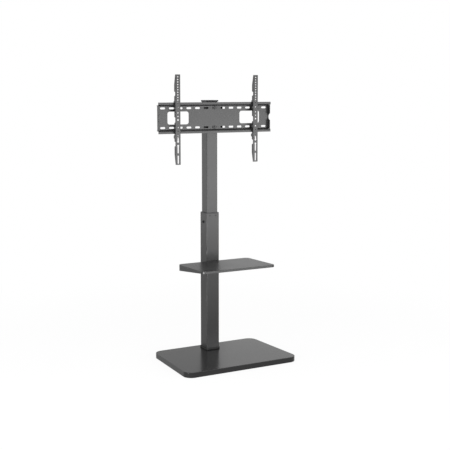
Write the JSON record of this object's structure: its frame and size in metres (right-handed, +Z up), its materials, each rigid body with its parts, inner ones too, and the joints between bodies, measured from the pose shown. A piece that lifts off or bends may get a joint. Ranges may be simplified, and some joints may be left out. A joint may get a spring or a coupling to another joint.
{
  "type": "television floor stand with mount",
  "caption": "Floor stand: flat base, telescoping square column, tilted shelf and a wide slotted plate with hook-on upright arms that carry a flat screen.",
  "frame": {"origin": "on the floor, under the middle of the base", "axes": "+X to the viewer's right, +Y to the rear, +Z up along the column; the screen side faces -Y"},
  "size_m": [0.666, 0.45, 1.5085],
  "materials": {
    "board": "dark satin lacquer",
    "powder_coat": "satin powder coat",
    "bracket_coat": "satin powder coat",
    "black_plastic": "matte",
    "black_steel": "blackened",
    "zinc": "zinc plated",
    "rubber": "matte"
  },
  "bodies": {
    "stand": {"base_board": "board", "base_feet": "rubber", "base_underplate": "zinc", "base_bolts": "zinc", "foot_plate": "zinc", "foot_trim": "rubber", "lower_column": "powder_coat", "column_collar": "black_plastic", "collar_rivets": "black_steel", "height_lock_nut": "zinc", "shelf_tray": "powder_coat", "shelf_bracket": "bracket_coat", "shelf_studs": "zinc", "shelf_nuts": "zinc", "shelf_bolts": "black_steel", "shelf_rivet_nuts": "zinc"},
    "head": {"upper_column": "powder_coat", "guide_shoe": "black_plastic", "column_cap": "black_plastic", "head_bracket": "bracket_coat", "head_bolts": "powder_coat", "head_washers": "powder_coat", "head_nuts": "zinc", "mount_plate": "powder_coat"},
    "left_arm": {"left_arm": "powder_coat", "left_arm_nut": "zinc"},
    "right_arm": {"right_arm": "powder_coat", "right_arm_nut": "zinc"},
    "height_lock": {"height_lock_screw": "black_steel"},
    "left_arm_lock": {"left_arm_lock_screw": "black_steel"},
    "right_arm_lock": {"right_arm_lock_screw": "black_steel"}
  },
  "joints": [
    {"name": "height_slide", "type": "slide", "parent": "stand", "child": "head", "axis": [0, 0, 1], "range_m": [-0.15, 0]},
    {"name": "left_arm_slide", "type": "slide", "parent": "head", "child": "left_arm", "axis": [1, 0, 0], "range_m": [-0.07, 0.17]},
    {"name": "right_arm_slide", "type": "slide", "parent": "head", "child": "right_arm", "axis": [1, 0, 0], "range_m": [-0.17, 0.07]},
    {"name": "height_lock_turn", "type": "hinge", "parent": "stand", "child": "height_lock", "pos_m": [-0.0375, 0.1545, 0.729], "axis": [-1, 0, 0], "range_deg": [0, 360]},
    {"name": "left_arm_lock_turn", "type": "hinge", "parent": "left_arm", "child": "left_arm_lock", "pos_m": [-0.23, 0.07825, 1.193], "axis": [0, 0, -1], "range_deg": [0, 360]},
    {"name": "right_arm_lock_turn", "type": "hinge", "parent": "right_arm", "child": "right_arm_lock", "pos_m": [0.23, 0.07825, 1.193], "axis": [0, 0, -1], "range_deg": [0, 360]}
  ]
}
